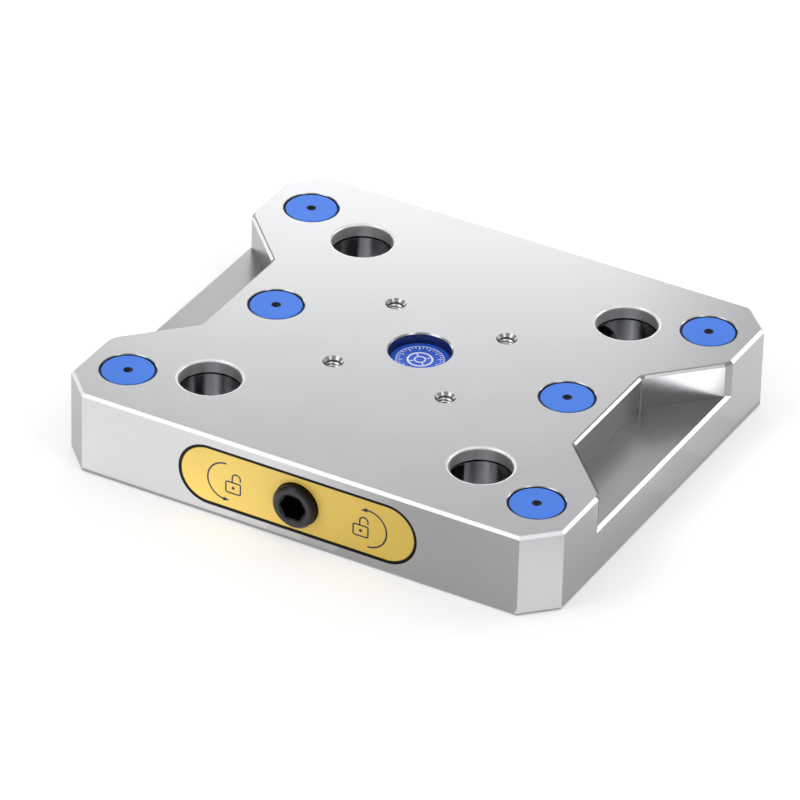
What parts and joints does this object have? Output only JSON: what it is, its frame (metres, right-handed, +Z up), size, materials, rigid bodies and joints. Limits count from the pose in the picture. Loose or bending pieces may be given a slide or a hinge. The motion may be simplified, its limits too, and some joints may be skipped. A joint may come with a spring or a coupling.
{
  "type": "zero point clamping plate",
  "caption": "Low rectangular workholding plate with stud bores, side pockets and a front screw that drives wedges and clamping slides inside.",
  "frame": {"origin": "centre of the flat underside, on the plane that rests on the machine table", "axes": "+Z up out of the stud bores, -Y out of the front face with the drive screw, +X to the right"},
  "size_m": [0.174, 0.157, 0.0285],
  "materials": {
    "plate_steel": "fine ground, satin",
    "hardened_steel": "hardened and honed",
    "slide_steel": "hardened, ground",
    "cover_steel": "ground",
    "blackened_steel": "blackened, slightly oily",
    "screw_steel": "blackened",
    "bronze": "turned",
    "black_rubber": "matt",
    "yellow_front_plate": "satin, anodised look",
    "blue_cap": "blue anodised, satin",
    "blue_medallion": "blue anodised, satin"
  },
  "bodies": {
    "housing": {"base_body": "plate_steel", "centre_medallion": "blue_medallion", "front_plate": "yellow_front_plate", "front_gasket": "black_rubber", "spindle_seal": "black_rubber", "bearing_plate": "cover_steel", "bearing_plate_screws": "screw_steel", "rear_bush": "bronze", "thrust_washer_front": "bronze", "thrust_washer_rear": "bronze", "bottom_cover_front": "cover_steel", "bottom_cover_rear": "cover_steel", "cover_screws_front": "screw_steel", "cover_screws_rear": "screw_steel", "clamping_sleeve_front_right": "hardened_steel", "clamping_sleeve_front_left": "hardened_steel", "clamping_sleeve_rear_right": "hardened_steel", "clamping_sleeve_rear_left": "hardened_steel"},
    "spindle": {"spindle": "blackened_steel"},
    "wedge_front": {"wedge_front": "slide_steel"},
    "wedge_rear": {"wedge_rear": "slide_steel"},
    "slide_front_right": {"clamping_slide_front_right": "slide_steel"},
    "slide_front_left": {"clamping_slide_front_left": "slide_steel"},
    "slide_rear_right": {"clamping_slide_rear_right": "slide_steel"},
    "slide_rear_left": {"clamping_slide_rear_left": "slide_steel"},
    "cap_front_left": {"cover_cap_front_left": "blue_cap", "cap_ring_front_left": "black_rubber"},
    "cap_front_right": {"cover_cap_front_right": "blue_cap", "cap_ring_front_right": "black_rubber"},
    "cap_rear_left": {"cover_cap_rear_left": "blue_cap", "cap_ring_rear_left": "black_rubber"},
    "cap_rear_right": {"cover_cap_rear_right": "blue_cap", "cap_ring_rear_right": "black_rubber"},
    "cap_mid_left": {"cover_cap_mid_left": "blue_cap", "cap_ring_mid_left": "black_rubber"},
    "cap_mid_right": {"cover_cap_mid_right": "blue_cap", "cap_ring_mid_right": "black_rubber"}
  },
  "joints": [
    {"name": "spindle_turn", "type": "hinge", "parent": "housing", "child": "spindle", "pos_m": [0, -0.08, 0.01425], "axis": [0, 1, 0], "range_deg": [0, 990]},
    {"name": "wedge_front_travel", "type": "slide", "parent": "housing", "child": "wedge_front", "axis": [0, 1, 0], "range_m": [0, 0.011]},
    {"name": "wedge_rear_travel", "type": "slide", "parent": "housing", "child": "wedge_rear", "axis": [0, -1, 0], "range_m": [0, 0.011]},
    {"name": "slide_front_right_clamp", "type": "slide", "parent": "housing", "child": "slide_front_right", "axis": [1, 0, 0], "range_m": [0, 0.004]},
    {"name": "slide_front_left_clamp", "type": "slide", "parent": "housing", "child": "slide_front_left", "axis": [-1, 0, 0], "range_m": [0, 0.004]},
    {"name": "slide_rear_right_clamp", "type": "slide", "parent": "housing", "child": "slide_rear_right", "axis": [1, 0, 0], "range_m": [0, 0.004]},
    {"name": "slide_rear_left_clamp", "type": "slide", "parent": "housing", "child": "slide_rear_left", "axis": [-1, 0, 0], "range_m": [0, 0.004]},
    {"name": "cap_front_left_lift", "type": "slide", "parent": "housing", "child": "cap_front_left", "axis": [0, 0, 1], "range_m": [0, 0.03]},
    {"name": "cap_front_right_lift", "type": "slide", "parent": "housing", "child": "cap_front_right", "axis": [0, 0, 1], "range_m": [0, 0.03]},
    {"name": "cap_rear_left_lift", "type": "slide", "parent": "housing", "child": "cap_rear_left", "axis": [0, 0, 1], "range_m": [0, 0.03]},
    {"name": "cap_rear_right_lift", "type": "slide", "parent": "housing", "child": "cap_rear_right", "axis": [0, 0, 1], "range_m": [0, 0.03]},
    {"name": "cap_mid_left_lift", "type": "slide", "parent": "housing", "child": "cap_mid_left", "axis": [0, 0, 1], "range_m": [0, 0.03]},
    {"name": "cap_mid_right_lift", "type": "slide", "parent": "housing", "child": "cap_mid_right", "axis": [0, 0, 1], "range_m": [0, 0.03]}
  ],
  "couplings": [
    {"joint": "spindle_turn", "follows": "wedge_front_travel", "rad_per_m": 1570.8},
    {"joint": "wedge_rear_travel", "follows": "wedge_front_travel", "ratio": 1},
    {"joint": "slide_front_right_clamp", "follows": "wedge_front_travel", "ratio": 0.36397},
    {"joint": "slide_front_left_clamp", "follows": "wedge_front_travel", "ratio": 0.36397},
    {"joint": "slide_rear_right_clamp", "follows": "wedge_front_travel", "ratio": 0.36397},
    {"joint": "slide_rear_left_clamp", "follows": "wedge_front_travel", "ratio": 0.36397}
  ]
}
